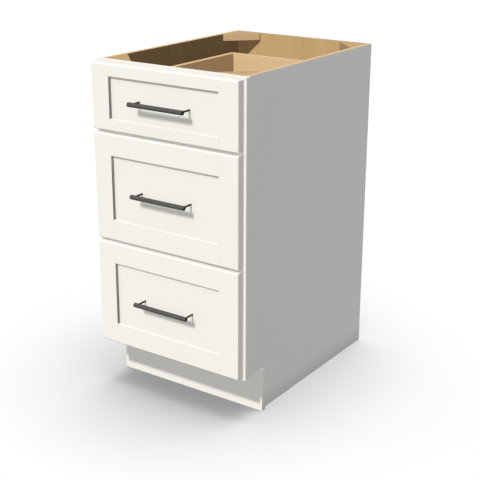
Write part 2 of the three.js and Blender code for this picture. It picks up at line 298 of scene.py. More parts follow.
def birch_tone(tree, place, grain, tones):
    """The wood's colour and its pores, for grain along one axis."""
    pale, mid, dark = (srgb(tone) for tone in tones)
    figure = add_node(
        tree,
        "ShaderNodeTexNoise",
        {"Vector": scaled(tree, place, grain_sizes(FIGURE_MM, grain)), "Scale": 1.0,
         "Detail": 4.0, "Roughness": 0.55, "Distortion": 0.9},
    )
    fibre = add_node(
        tree,
        "ShaderNodeTexNoise",
        {"Vector": scaled(tree, place, grain_sizes(FIBRE_MM, grain)), "Scale": 1.0, "Detail": 3.0},
    )
    pores = add_node(
        tree,
        "ShaderNodeTexNoise",
        {"Vector": scaled(tree, place, grain_sizes(PORE_MM, grain)), "Scale": 1.0, "Detail": 1.0},
    )
    banded = add_node(
        tree,
        "ShaderNodeMapRange",
        {"Value": figure, "From Min": 0.35, "From Max": 0.65},
    )
    bands = add_node(
        tree,
        "ShaderNodeMix",
        {"Factor": banded, "A": pale, "B": mid},
        data_type="RGBA",
    )
    lines = add_node(
        tree,
        "ShaderNodeMapRange",
        {"Value": fibre, "From Min": 0.52, "From Max": 0.8, "To Max": 0.35},
    )
    tone = add_node(
        tree,
        "ShaderNodeMix",
        {"Factor": lines, "A": bands, "B": dark},
        data_type="RGBA",
    )
    return tone, pores


def birch_face(name, grain, tones):
    """The face of a birch plywood board."""
    material, tree, place = start_material(name)
    tone, pores = birch_tone(tree, place, grain, tones)
    bump = add_node(
        tree,
        "ShaderNodeBump",
        {"Height": pores, "Strength": PORE_STRENGTH, "Distance": PORE_DEPTH_MM * MM},
    )
    end_material(
        tree,
        {"Base Color": tone, "Roughness": VENEER_ROUGHNESS, "Normal": bump,
         "Specular IOR Level": BIRCH_SPECULAR},
    )
    return material


veneer = {
    grain: birch_face(f"birch_veneer_grain_{grain.lower()}", grain, PLY_TONES)
    for grain in ("X", "Z")
}
# The veneer inside the side panels is darker, a painted shade for those walls.
shaded_side_veneer = birch_face("birch_veneer_sides_painted_shade", "Z", SHADED_SIDE_TONES)
print("made", [m.name for m in veneer.values()], shaded_side_veneer.name)

# %% [markdown]
# ## Plywood edges
# A cut edge of birch plywood is a stack of thin plies, each with its grain square to the next: one
# shows long fibres and stays pale, the next shows end grain and soaks up more finish. The plies
# are counted from one face of the board, read from its solid, so they start on that face.

# %% Plywood edge
PLY_MM = 1.4
PLY_CHANGE = (0.42, 0.58)
WANDER_MM = 60.0
EDGE_FIBRE_MM = 0.9
EDGE_DEPTH_MM = 0.1
EDGE_ROUGHNESS = 0.65
EDGE_LONG, EDGE_END = 0xEDD0A4, 0xD8B487


def plywood_edge(name, node, thickness):
    """The plies of a board whose thickness lies along that axis, counted from its face."""
    material, tree, place = start_material(name)
    axis = AXIS[thickness]
    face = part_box(node)[0][axis]
    shift = [0.0, 0.0, 0.0]
    shift[axis] = -face
    moved = add_node(tree, "ShaderNodeMapping", {"Vector": place, "Location": shift})
    parts = add_node(tree, "ShaderNodeSeparateXYZ", {"Vector": moved})
    wander = add_node(
        tree, "ShaderNodeTexNoise", {"Vector": scaled(tree, place, [WANDER_MM] * 3), "Scale": 1.0}
    )
    wobble = add_node(
        tree,
        "ShaderNodeMath",
        {0: wander, 1: 0.5 * PLY_MM * MM, 2: parts.outputs[axis]},
        operation="MULTIPLY_ADD",
    )
    plies = add_node(
        tree, "ShaderNodeMath", {0: wobble, 1: PLY_MM * MM}, operation="PINGPONG"
    )
    change_start, change_end = (share * PLY_MM * MM for share in PLY_CHANGE)
    crossed = add_node(
        tree,
        "ShaderNodeMapRange",
        {"Value": plies, "From Min": change_start, "From Max": change_end},
    )
    fibre = add_node(
        tree,
        "ShaderNodeTexNoise",
        {"Vector": scaled(tree, place, [EDGE_FIBRE_MM] * 3), "Scale": 1.0},
    )
    tone = add_node(
        tree,
        "ShaderNodeMix",
        {"Factor": crossed, "A": srgb(EDGE_LONG), "B": srgb(EDGE_END)},
        data_type="RGBA",
    )
    bump = add_node(
        tree,
        "ShaderNodeBump",
        {"Height": fibre, "Strength": 0.6, "Distance": EDGE_DEPTH_MM * MM},
    )
    end_material(
        tree,
        {"Base Color": tone, "Roughness": EDGE_ROUGHNESS, "Normal": bump,
         "Specular IOR Level": BIRCH_SPECULAR},
    )
    return material


ply_edge = {
    "left_side_panel": plywood_edge("plywood_edge_left", "left_side_panel", "X"),
    "right_side_panel": plywood_edge("plywood_edge_right", "right_side_panel", "X"),
    "back_panel": plywood_edge("plywood_edge_back", "back_panel", "Y"),
    "bottom_panel": plywood_edge("plywood_edge_deck", "bottom_panel", "Z"),
    "gusset": plywood_edge("plywood_edge_gusset", "front_left_gusset", "Z"),
}
print("made", len(ply_edge), "plywood edges")

# %% [markdown]
# ## Solid birch for the drawer boxes
# The drawer boxes are solid boards with dovetailed corners. A dovetail is only visible because end
# grain is darker and more porous than the long grain beside it, so this finish looks at which way
# the surface faces: where it faces along the grain it turns to end grain.

# %% Solid birch
END_GRAIN = 0xCBA06B
END_FACING = 0.7
BOARD_ROUGHNESS = 0.55
BOX_TONES = (0xF4D6A5, 0xF0CE9B, 0xE0B784)


def solid_birch(name, grain, tones):
    """A solid board: long grain, and end grain where the surface faces along it."""
    material, tree, place = start_material(name)
    tone, pores = birch_tone(tree, place, grain, tones)
    geometry = add_node(tree, "ShaderNodeNewGeometry")
    facing = add_node(
        tree, "ShaderNodeSeparateXYZ", {"Vector": geometry.outputs["True Normal"]}
    )
    along = add_node(
        tree, "ShaderNodeMath", {0: facing.outputs[AXIS[grain]]}, operation="ABSOLUTE"
    )
    end = add_node(tree, "ShaderNodeMath", {0: along, 1: END_FACING}, operation="GREATER_THAN")
    colour = add_node(
        tree,
        "ShaderNodeMix",
        {"Factor": end, "A": tone, "B": srgb(END_GRAIN)},
        data_type="RGBA",
    )
    bump = add_node(
        tree,
        "ShaderNodeBump",
        {"Height": pores, "Strength": PORE_STRENGTH, "Distance": PORE_DEPTH_MM * MM},
    )
    end_material(
        tree,
        {"Base Color": colour, "Roughness": BOARD_ROUGHNESS, "Normal": bump,
         "Specular IOR Level": BIRCH_SPECULAR},
    )
    return material


box_birch = {
    grain: solid_birch(f"solid_birch_grain_{grain.lower()}", grain, BOX_TONES)
    for grain in ("X", "Y")
}
box_veneer = birch_face("birch_veneer_drawer_bottom", "Y", BOX_TONES)
print("made", [m.name for m in box_birch.values()], box_veneer.name)

# %% [markdown]
# ## Metals and plastics
# The pulls have a matt black-bronze coating: dark brown-grey, with a fine grain that spreads what
# little it reflects. The runners and screws are steel with bright zinc plating, whose gloss
# changes in small patches. The clips and bumpers are moulded.

# %% Metals and plastics
COATING_MM = 0.6
ZINC_PATCH_MM = 9.0
MOULDED_MM = 3.0
GRAIN_DEPTH_MM = 0.02
GLOSS_SWING = 0.08
LIGHTER = 0x0A0A0A
MATT_SPECULAR = 0.08


def grained(name, colour, roughness, metallic, grain_mm, specular=0.5):
    """A metal, coating or plastic whose tone and gloss change with a fine grain."""
    material, tree, place = start_material(name)
    grain = add_node(
        tree,
        "ShaderNodeTexNoise",
        {"Vector": scaled(tree, place, [grain_mm] * 3), "Scale": 1.0, "Detail": 3.0},
    )
    gloss = add_node(
        tree,
        "ShaderNodeMapRange",
        {"Value": grain, "From Min": 0.3, "From Max": 0.7,
         "To Min": roughness - GLOSS_SWING, "To Max": roughness + GLOSS_SWING},
    )
    tone = add_node(
        tree,
        "ShaderNodeMix",
        {"Factor": grain, "A": srgb(colour), "B": srgb(colour + LIGHTER)},
        data_type="RGBA",
    )
    bump = add_node(
        tree,
        "ShaderNodeBump",
        {"Height": grain, "Strength": 0.2, "Distance": GRAIN_DEPTH_MM * MM},
    )
    end_material(
        tree,
        {"Base Color": tone, "Roughness": gloss, "Metallic": metallic, "Normal": bump,
         "Specular IOR Level": specular},
    )
    return material


black_bronze = grained("black_bronze_coating", 0x4F4D4A, 0.6, 0.0, COATING_MM, MATT_SPECULAR)
zinc_plate = grained("bright_zinc_plating", 0xC3C6C8, 0.34, 1.0, ZINC_PATCH_MM)
grey_nylon = grained("moulded_grey_nylon", 0x6E7072, 0.5, 0.0, MOULDED_MM)
pale_rubber = grained("moulded_soft_bumper", 0xDCDCD6, 0.25, 0.0, MOULDED_MM)
print("made", black_bronze.name, zinc_plate.name, grey_nylon.name, pale_rubber.name)

# %% [markdown]
# ## From a solid to a finished board
# A CAD solid arrives as loose triangles with knife-sharp edges. No real board has those: sandpaper
# takes a fraction of a millimetre off, and that thin strip is what catches the light. So a board
# is copied, its triangles are merged into whole sides, each side gets its finish, and a Bevel
# modifier eases the edges. Normals weighted by area keep the wide sides flat between them.

# %% Dressing a board
EASED_MM = 0.6
EASED_STEPS = 2
SHARP = math.radians(30)
WELD_MM = 0.01
FLAT = math.radians(0.5)
record = frame["record"]
BODY_OF = {
    node: body for body, nodes in record["behaviour"]["bodies"].items() for node in nodes
}


def whole_sides(node):
    """A bmesh copy of a solid, its triangles merged into whole flat sides."""
    bm = bmesh.new()
    bm.from_mesh(frame["nodes"][node].data)
    bmesh.ops.remove_doubles(bm, verts=bm.verts, dist=WELD_MM * MM)
    bmesh.ops.dissolve_limit(
        bm, angle_limit=FLAT, verts=bm.verts, edges=bm.edges, delimit={"NORMAL"}
    )
    return bm


def new_piece(name, bm, materials):
    """A new object at the origin from a bmesh, which is freed."""
    mesh = bpy.data.meshes.new(name)
    bm.to_mesh(mesh)
    bm.free()
    for material in materials:
        mesh.materials.append(material)
    piece = bpy.data.objects.new(name, mesh)
    bpy.context.scene.collection.objects.link(piece)
    return piece


def settle(piece):
    """Applies a piece's modifiers: its mesh becomes what the modifiers made of it."""
    graph = bpy.context.evaluated_depsgraph_get()
    finished = bpy.data.meshes.new_from_object(piece.evaluated_get(graph))
    piece.modifiers.clear()
    piece.data = finished
    return piece


def ease(piece, width_mm, steps=EASED_STEPS, by_weight=False):
    """Rounds a piece's sharp edges, or its weighted ones, and keeps its flat sides flat."""
    bevel = piece.modifiers.new("eased edges", "BEVEL")
    bevel.width = width_mm * MM
    bevel.segments = steps
    bevel.limit_method = "WEIGHT" if by_weight else "ANGLE"
    bevel.angle_limit = SHARP
    flat = piece.modifiers.new("flat sides", "WEIGHTED_NORMAL")
    flat.mode = "FACE_AREA"
    flat.weight = 100
    for polygon in piece.data.polygons:
        polygon.use_smooth = True
    return settle(piece)


def stand_for(piece, node):
    """The piece takes a node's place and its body."""
    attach(piece, BODY_OF[node])
    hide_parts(node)
    return piece


def dress(node, materials, side_of, eased_mm=EASED_MM):
    """A finished copy of a board; side_of(normal) says which material a side takes."""
    bm = whole_sides(node)
    for face in bm.faces:
        face.material_index = side_of(face.normal)
    piece = new_piece(f"{node}_finished", bm, materials)
    ease(piece, eased_mm)
    return stand_for(piece, node)


def one_finish(normal):
    """Every side takes the only material."""
    return 0


print("a board's edges are eased by", EASED_MM, "mm")

# %% [markdown]
# ## Carcass
# A side panel wears three finishes: laminate outside, birch inside, and plywood plies on every cut
# edge. The way a side faces decides which one it gets.

# %% Side panels, back, deck, toe board and gussets
PLY_EASED_MM = 0.4
GUSSET_EASED_MM = 0.5
FACING = 0.5


def face_or_edge(axis):
    """Material 0 for the two faces square to the axis, and 1 for the edges round them."""
    return lambda normal: int(abs(normal[AXIS[axis]]) < FACING)


def side_panel(sign):
    """Material 0 outside, 1 inside and 2 on the edges of the panel on that side."""
    def side_of(normal):
        if abs(normal.x) < FACING:
            return 2
        return 0 if normal.x * sign > 0 else 1

    return side_of


# The inside of each side panel takes the darker veneer, whose colour paints shade on it.
for side, sign in SIDES.items():
    node = f"{side}_side_panel"
    dress(node, [laminate, shaded_side_veneer, ply_edge[node]], side_panel(sign), PLY_EASED_MM)
for node, grain, thickness in (("back_panel", "Z", "Y"), ("bottom_panel", "X", "Z")):
    dress(node, [veneer[grain], ply_edge[node]], face_or_edge(thickness), PLY_EASED_MM)
dress("toe_board", [lacquer], one_finish)
for end in ("front", "rear"):
    for side in SIDES:
        node = f"{end}_{side}_gusset"
        dress(node, [veneer["X"], ply_edge["gusset"]], face_or_edge("Z"), GUSSET_EASED_MM)
print("dressed the carcass")

# %% [markdown]
# ## Face frame
# Two stiles and four rails of solid wood, glued flush and then sprayed. The lacquer bridges the
# joints, and all that is left of them is a hairline, which the eased edges draw.

# %% Face frame
FRAME_EASED_MM = 0.35
frame_members = [node for node in frame["nodes"] if node.startswith("face_frame_")]
for node in frame_members:
    dress(node, [lacquer], one_finish, FRAME_EASED_MM)
print("dressed", len(frame_members), "face frame members")

# %% [markdown]
# ## Shaker drawer fronts
# A shaker front has five pieces: two upright stiles, two rails between them, and a thin flat panel
# that floats in a groove. The outer edge is rounded by 3 mm and the inner edges are only eased, so
# that the recess keeps its crisp shadow. Each member is a box whose edges carry a bevel weight: 1
# where the router ran, and a tenth of it where only sandpaper did. The groove is cut afterwards.

# %% One member of a front
ROUND_MM = 3.0
ROUND_STEPS = 6
SANDED = 0.1
HAIRLINE_MM = 0.05
TONGUE_MM = 9.0
GROOVE_FIT_MM = 0.3


def add_box(bm, low, high):
    """A closed box between two corners; gives its vertices."""
    made = bmesh.ops.create_cube(bm, size=1.0)["verts"]
    for vertex in made:
        for axis in range(3):
            vertex.co[axis] = high[axis] if vertex.co[axis] > 0 else low[axis]
    return made


def add_member(bm, low, high, routed):
    """A stile or rail; routed gives the x or z of each outer front edge that is rounded."""
    weight = bm.edges.layers.float.get("bevel_weight_edge")
    weight = weight or bm.edges.layers.float.new("bevel_weight_edge")
    made = set(add_box(bm, low, high))
    for edge in {e for vertex in made for e in vertex.link_edges}:
        middle = (edge.verts[0].co + edge.verts[1].co) / 2
        at_front = abs(middle.y - low[1]) < HAIRLINE_MM * MM
        outer = any(abs(middle[axis] - value) < HAIRLINE_MM * MM for axis, value in routed)
        edge[weight] = 1.0 if at_front and outer else SANDED


print("routed edges are rounded by", ROUND_MM, "mm, sanded ones by", round(ROUND_MM * SANDED, 2))

# %% Front frames and their panels
def build_front(label):
    """A front's two stiles and two rails, with the groove for its panel."""
    low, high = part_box(f"{label}_front_frame")
    panel_low, panel_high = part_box(f"{label}_front_panel")
    tongue = Vector((TONGUE_MM * MM, 0, TONGUE_MM * MM))
    hole_low, hole_high = panel_low + tongue, panel_high - tongue
    gap = HAIRLINE_MM * MM
    top, bottom = (2, high.z), (2, low.z)
    bm = bmesh.new()
    for edge, (x0, x1) in ((low.x, (low.x, hole_low.x)), (high.x, (hole_high.x, high.x))):
        add_member(bm, (x0, low.y, low.z), (x1, high.y, high.z), [(0, edge), top, bottom])
    for edge, (z0, z1) in ((bottom, (low.z, hole_low.z)), (top, (hole_high.z, high.z))):
        rail_low = (hole_low.x + gap, low.y, z0)
        add_member(bm, rail_low, (hole_high.x - gap, high.y, z1), [edge])
    members = new_piece(f"{label}_front_members", bm, [lacquer])
    ease(members, ROUND_MM, ROUND_STEPS, by_weight=True)
    cut_groove(members, panel_low, panel_high)
    return stand_for(members, f"{label}_front_frame")


def cut_groove(members, panel_low, panel_high):
    """Cuts the slot that the centre panel floats in."""
    room = Vector([GROOVE_FIT_MM * MM] * 3)
    bm = bmesh.new()
    add_box(bm, panel_low - room, panel_high + room)
    cutter = new_piece("groove_cutter", bm, [])
    cut = members.modifiers.new("groove", "BOOLEAN")
    cut.operation = "DIFFERENCE"
    cut.solver = "EXACT"
    cut.object = cutter
    settle(members)
    bpy.data.objects.remove(cutter)


for label in DRAWERS:
    members = build_front(label)
    dress(f"{label}_front_panel", [lacquer], one_finish)
    print(members.name, "has", len(members.data.polygons), "faces")

# %% [markdown]
# ## Bar pulls
# Each pull is a round bar with chamfered ends on two slim posts. The bar is turned: a profile of
# radius against length, spun round its axis. The posts are turned the same way and stand straight
# on the panel. A union with each post makes them one piece.

# %% Bar pulls
PULL_SIDES = 40
CHAMFER_MM = 0.8
POST_R_MM = 2.5
PULL_CENTRES = 6 * 25.4 * MM


def turned(name, profile, origin, axis, material):
    """A closed turning about an axis, from (distance along it, radius) pairs."""
    bm = bmesh.new()
    side = Vector((0, 0, 1))
    across = axis.cross(side)
    rings = []
    angles = [2 * math.pi * i / PULL_SIDES for i in range(PULL_SIDES)]
    for along, radius in profile:
        centre = origin + axis * along
        spokes = [side * math.cos(a) + across * math.sin(a) for a in angles]
        rings.append([bm.verts.new(centre + spoke * radius) for spoke in spokes])
    for first, second in zip(rings, rings[1:]):
        for i in range(PULL_SIDES):
            j = (i + 1) % PULL_SIDES
            bm.faces.new((first[i], first[j], second[j], second[i]))
    bm.faces.new(rings[0])
    bm.faces.new(rings[-1])
    bmesh.ops.recalc_face_normals(bm, faces=bm.faces)
    return new_piece(name, bm, [material])


def unite(whole, part):
    """Joins a second closed piece into the first."""
    join = whole.modifiers.new("join", "BOOLEAN")
    join.operation = "UNION"
    join.solver = "EXACT"
    join.object = part
    settle(whole)
    bpy.data.objects.remove(part)


def smooth_turning(piece):
    """Round stretches shade smoothly, and turned corners stay sharp."""
    bm = bmesh.new()
    bm.from_mesh(piece.data)
    for face in bm.faces:
        face.smooth = True
    for edge in bm.edges:
        edge.smooth = edge.is_manifold and edge.calc_face_angle() < SHARP
    bm.to_mesh(piece.data)
    bm.free()


def build_pull(label):
    """A drawer's pull: a chamfered bar and two posts, sized by its solid."""
    low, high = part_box(f"{label}_pull")
    bar_r = (high.z - low.z) / 2
    length = high.x - low.x
    axis_y = low.y + bar_r
    middle = (low.z + high.z) / 2
    chamfer = CHAMFER_MM * MM
    end_r = bar_r - chamfer
    bar = turned(
        f"{label}_bar_pull",
        [(0, end_r), (chamfer, bar_r), (length - chamfer, bar_r), (length, end_r)],
        Vector((low.x, axis_y, middle)),
        Vector((1, 0, 0)),
        black_bronze,
    )
    reach = high.y - axis_y
    for sign in (-1, 1):
        post = turned(
            "post",
            [(0, POST_R_MM * MM), (reach, POST_R_MM * MM)],
            Vector((sign * PULL_CENTRES / 2, axis_y, middle)),
            Vector((0, 1, 0)),
            black_bronze,
        )
        unite(bar, post)
    smooth_turning(bar)
    return stand_for(bar, f"{label}_pull")


for label in DRAWERS:
    pull = build_pull(label)
    print(pull.name, "has", len(pull.data.polygons), "faces")

# %% [markdown]
# ## Drawer boxes and runners
# These solids already have their real shape, dovetails, grooves and channels included. Their boards
# get a fine easing, which opens each dovetail into a hairline, and the runners lose the burr that
# the press leaves on sheet steel.

# %% Finish for the boxes and runners
BOX_EASED_MM = 0.25
BURR_MM = 0.15

for label in DRAWERS:
    for side in SIDES:
        dress(f"{label}_box_{side}_side", [box_birch["Y"]], one_finish, BOX_EASED_MM)
        for member in ("cabinet", "middle", "drawer"):
            dress(f"{label}_{side}_{member}_runner", [zinc_plate], one_finish, BURR_MM)
    dress(f"{label}_box_front", [box_birch["X"]], one_finish, BOX_EASED_MM)
    dress(f"{label}_box_back", [box_birch["X"]], one_finish, BOX_EASED_MM)
    dress(f"{label}_box_bottom", [box_veneer], one_finish, BOX_EASED_MM)
print("finished", len(DRAWERS), "drawer boxes and", 2 * len(DRAWERS), "runners")

# %% [markdown]
# ## Screws and bumpers with Geometry Nodes
# The cabinet has some fifty screw heads inside. They are one small tree of nodes.
# Each vertex of a helper mesh is a place, and its facing attribute says which way the head looks.
# The tree sets a head there and turns it by a random angle, because no two screws stop alike. The
# sizes are inputs of the tree, so one tree makes the wide heads and the low runner heads.

# %% A tree that sets parts on places
SPIN_SEED = 7
HEAD_SIDES = 32


def hardware_tree(name, sizes, make_part):
    """A node group that sets one part on every vertex, looking along the facing attribute."""
    tree = bpy.data.node_groups.new(name, "GeometryNodeTree")
    tree.interface.new_socket("Places", in_out="INPUT", socket_type="NodeSocketGeometry")
    for size in sizes:
        tree.interface.new_socket(size, in_out="INPUT", socket_type="NodeSocketFloat")
    tree.interface.new_socket("Material", in_out="INPUT", socket_type="NodeSocketMaterial")
    tree.interface.new_socket("Parts", in_out="OUTPUT", socket_type="NodeSocketGeometry")
    given = add_node(tree, "NodeGroupInput").outputs
    part = make_part(tree, given)
    facing = add_node(
        tree, "GeometryNodeInputNamedAttribute", {"Name": "facing"}, data_type="FLOAT_VECTOR"
    )
    aimed = add_node(tree, "FunctionNodeAlignRotationToVector", {"Vector": facing}, axis="Z")
    angle = add_node(
        tree,
        "FunctionNodeRandomValue",
        {"Min": 0.0, "Max": math.tau, "Seed": SPIN_SEED},
        data_type="FLOAT",
    )
    spin = add_node(
        tree, "FunctionNodeAxisAngleToRotation", {"Axis": (0.0, 0.0, 1.0), "Angle": angle}
    )
    turned_head = add_node(
        tree,
        "FunctionNodeRotateRotation",
        {"Rotation": aimed, "Rotate By": spin},
        rotation_space="LOCAL",
    )
    placed = add_node(
        tree,
        "GeometryNodeInstanceOnPoints",
        {"Points": given["Places"], "Instance": part, "Rotation": turned_head},
    )
    whole = add_node(tree, "GeometryNodeRealizeInstances", {"Geometry": placed})
    finished = add_node(
        tree, "GeometryNodeSetMaterial", {"Geometry": whole, "Material": given["Material"]}
    )
    add_node(tree, "NodeGroupOutput", {"Parts": finished})
    return tree


def flat_cone(tree, given):
    """A low cone with a flat top."""
    return add_node(
        tree,
        "GeometryNodeMeshCone",
        {"Vertices": HEAD_SIDES, "Radius Top": given["Top radius"],
         "Radius Bottom": given["Radius"], "Depth": given["Height"]},
    )


def screw_head(tree, given):
    """A flat cone with a cross cut half way into it."""
    head = flat_cone(tree, given)
    slot_size = {"X": given["Slot length"], "Y": given["Slot width"], "Z": given["Height"]}
    slot = add_node(
        tree, "GeometryNodeMeshCube", {"Size": add_node(tree, "ShaderNodeCombineXYZ", slot_size)}
    )
    top = add_node(tree, "ShaderNodeCombineXYZ", {"Z": given["Height"]})
    for quarter in (0.0, math.pi / 2):
        bar = add_node(
            tree,
            "GeometryNodeTransform",
            {"Geometry": slot, "Translation": top, "Rotation": (0.0, 0.0, quarter)},
        )
        head = add_node(
            tree,
            "GeometryNodeMeshBoolean",
            {"Mesh 1": head, "Mesh 2": bar},
            operation="DIFFERENCE",
        )
    return head


CONE_SIZES = ("Radius", "Top radius", "Height")
screw_tree = hardware_tree("screw_heads", (*CONE_SIZES, "Slot length", "Slot width"), screw_head)
bumper_tree = hardware_tree("bumpers", CONE_SIZES, flat_cone)
print("made", screw_tree.name, "and", bumper_tree.name)

# %% Setting hardware on a body
WIDE_HEAD_MM = {
    "Radius": 4.5, "Top radius": 2.8, "Height": 2.0, "Slot length": 4.4, "Slot width": 0.9,
}
LOW_HEAD_MM = {
    "Radius": 3.6, "Top radius": 2.4, "Height": 1.6, "Slot length": 3.8, "Slot width": 0.8,
}
BUMPER_MM = {"Radius": 4.5, "Top radius": 3.9, "Height": 2.2}


def set_hardware(name, body, places, tree, sizes_mm, material):
    """Sets a part at each (place, facing) pair, as one mesh that rides on a body."""
    mesh = bpy.data.meshes.new(name)
    mesh.from_pydata([place for place, facing in places], [], [])
    facings = mesh.attributes.new("facing", "FLOAT_VECTOR", "POINT")
    facings.data.foreach_set("vector", [value for place, facing in places for value in facing])
    piece = bpy.data.objects.new(name, mesh)
    bpy.context.scene.collection.objects.link(piece)
    hardware = piece.modifiers.new("hardware", "NODES")
    hardware.node_group = tree
    for socket in tree.interface.items_tree:
        if socket.name in sizes_mm:
            hardware[socket.identifier] = sizes_mm[socket.name] * MM
        elif socket.name == "Material":
            hardware[socket.identifier] = material
    settle(piece)
    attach(piece, body)
    print(name, "has", len(places), "parts and", len(piece.data.polygons), "faces")
    return piece


print("screw heads are", 2 * WIDE_HEAD_MM["Radius"], "and", 2 * LOW_HEAD_MM["Radius"], "mm wide")

# %% [markdown]
# ## Where the hardware goes
# The drawer front is screwed on from inside the box, near the corners, and the pull's two screws
# come through between them. Each runner is screwed to the stile's edge in front and through its
# bracket into the back. Four soft bumpers keep every front off the face frame.

# %% Screws and bumpers
FIXING_ASIDE_MM = 118.0
FIXING_EDGE_MM = 28.0
BUMPER_EDGE_MM = (14.0, 10.0)
SHEET_MM = 1.5
BRACKET_MM = 2.0
WEB_SCREWS_MM = (6.5, 22.0)
BRACKET_SCREWS_MM = (9.0, 25.0)
BRACKET_DROP_MM = 8.0
stile_low, stile_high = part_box("face_frame_left_stile")
stile_middle = (stile_low.y + stile_high.y) / 2
BACKWARDS, FORWARDS, DOWN = (0, 1, 0), (0, -1, 0), (0, 0, -1)


def front_places(label):
    """The screws inside a box front: two for the pull, four for the drawer front."""
    low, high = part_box(f"{label}_box_front")
    pull_low, pull_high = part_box(f"{label}_pull")
    edge = FIXING_EDGE_MM * MM
    aside = FIXING_ASIDE_MM * MM
    spots = [(PULL_CENTRES / 2, (pull_low.z + pull_high.z) / 2)]
    spots += [(aside, low.z + edge), (aside, high.z - edge)]
    return [((sign * x, high.y, z), BACKWARDS) for x, z in spots for sign in SIDES.values()]


def runner_places(label, side, sign):
    """The screws of one cabinet runner: two in the stile's edge, two in the back."""
    low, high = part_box(f"{label}_{side}_cabinet_runner")
    outer = high.x if sign > 0 else low.x
    web = outer - sign * SHEET_MM * MM
    places = [
        ((web, stile_middle, low.z + rise * MM), (-sign, 0, 0)) for rise in WEB_SCREWS_MM
    ]
    plate = (high.y - BRACKET_MM * MM, high.z - BRACKET_DROP_MM * MM)
    places += [((outer - sign * inset * MM, *plate), FORWARDS) for inset in BRACKET_SCREWS_MM]
    return places


def bumper_places(label):
    """The bumpers on the back of a front, one near each corner."""
    low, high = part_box(f"{label}_front_frame")
    aside, edge = (inset * MM for inset in BUMPER_EDGE_MM)
    xs = (low.x + aside, high.x - aside)
    return [((x, high.y, z), BACKWARDS) for x in xs for z in (low.z + edge, high.z - edge)]


runner_screws = []
for label in DRAWERS:
    fixings = set_hardware(
        f"{label}_front_screws", label, front_places(label), screw_tree, WIDE_HEAD_MM, zinc_plate
    )
    set_hardware(
        f"{label}_bumpers", label, bumper_places(label), bumper_tree, BUMPER_MM, pale_rubber
    )
    for side, sign in SIDES.items():
        runner_screws += runner_places(label, side, sign)
low_heads = set_hardware(
    "runner_screws", "carcass", runner_screws, screw_tree, LOW_HEAD_MM, zinc_plate
)

# %% [markdown]
# ## Locking clips
# Under each box, beside each runner, a moulded clip locks the drawer to its runner. Squeezing the
# ribbed tab lets it go. The clip is one moulding, held up under the box by two screws.

# %% Locking clips
CLIP_MM = (26.0, 54.0, 9.0)
TAB_MM = (15.0, 22.0, 3.0)
RIB_MM = (11.0, 1.2, 0.8)
RIBS = 5
RIB_STEP_MM = 3.0
CLIP_CLEAR_MM = 2.0
CLIP_EASED_MM = 0.3
CLIP_SCREWS_MM = (8.0, 22.0)
OVERLAP_MM = 0.3


def block(name, centre_x, start_y, top_z, size_mm):
    """A nylon box of that size, its top at top_z."""
    wide, long, high = (size * MM for size in size_mm)
    bm = bmesh.new()
    low = (centre_x - wide / 2, start_y, top_z - high)
    add_box(bm, low, (centre_x + wide / 2, start_y + long, top_z))
    return new_piece(name, bm, [grey_nylon])


def build_clip(label, side, sign):
    """Makes one clip, riding on its drawer, and gives the places of its two screws."""
    runner_low, runner_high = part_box(f"{label}_{side}_drawer_runner")
    inner = runner_low.x if sign > 0 else runner_high.x
    centre = inner - sign * (CLIP_CLEAR_MM + CLIP_MM[0] / 2) * MM
    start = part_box(f"{label}_box_front")[1].y + CLIP_CLEAR_MM * MM
    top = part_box(f"{label}_box_bottom")[0].z - OVERLAP_MM * MM
    under = top - CLIP_MM[2] * MM
    overlap = OVERLAP_MM * MM
    clip = block(f"{label}_{side}_locking_clip", centre, start, top, CLIP_MM)
    tab_start = start + TAB_MM[2] * MM
    unite(clip, block("tab", centre, tab_start, under + overlap, TAB_MM))
    tab_under = under + overlap - TAB_MM[2] * MM
    for rib in range(RIBS):
        rib_start = tab_start + (rib + 1) * RIB_STEP_MM * MM
        unite(clip, block("rib", centre, rib_start, tab_under + overlap, RIB_MM))
    ease(clip, CLIP_EASED_MM)
    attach(clip, label)
    screw_y = start + CLIP_MM[1] * MM
    return [((centre, screw_y - inset * MM, under), DOWN) for inset in CLIP_SCREWS_MM]


for label in DRAWERS:
    clip_screws = []
    for side, sign in SIDES.items():
        clip_screws += build_clip(label, side, sign)
    heads = set_hardware(
        f"{label}_clip_screws", label, clip_screws, screw_tree, LOW_HEAD_MM, zinc_plate
    )

# %% [markdown]
# ## Floor and background
# The background is plain white. The floor is seen by the camera as white, and two wide overhead
# lights that shine on the floor alone draw the soft dark patch round the cabinet's foot. The floor
# throws no light back up on the cabinet, so the sides stay as even as in a daylight studio.

# %% Floor
WHITE = (1.0, 1.0, 1.0, 1.0)
FLOOR_SIZE = 60.0
FLOOR_ALBEDO = 0.8
FLOOR_GLOW = 0.17


def seen_directly(tree):
    """1 for rays from the camera, off a shiny surface or through a clear one; else 0."""
    path = add_node(tree, "ShaderNodeLightPath")
    seen = add_node(
        tree,
        "ShaderNodeMath",
        {0: path.outputs["Is Camera Ray"], 1: path.outputs["Is Glossy Ray"]},
        operation="MAXIMUM",
    )
    return add_node(
        tree,
        "ShaderNodeMath",
        {0: seen, 1: path.outputs["Is Transmission Ray"]},
        operation="MAXIMUM",
    )


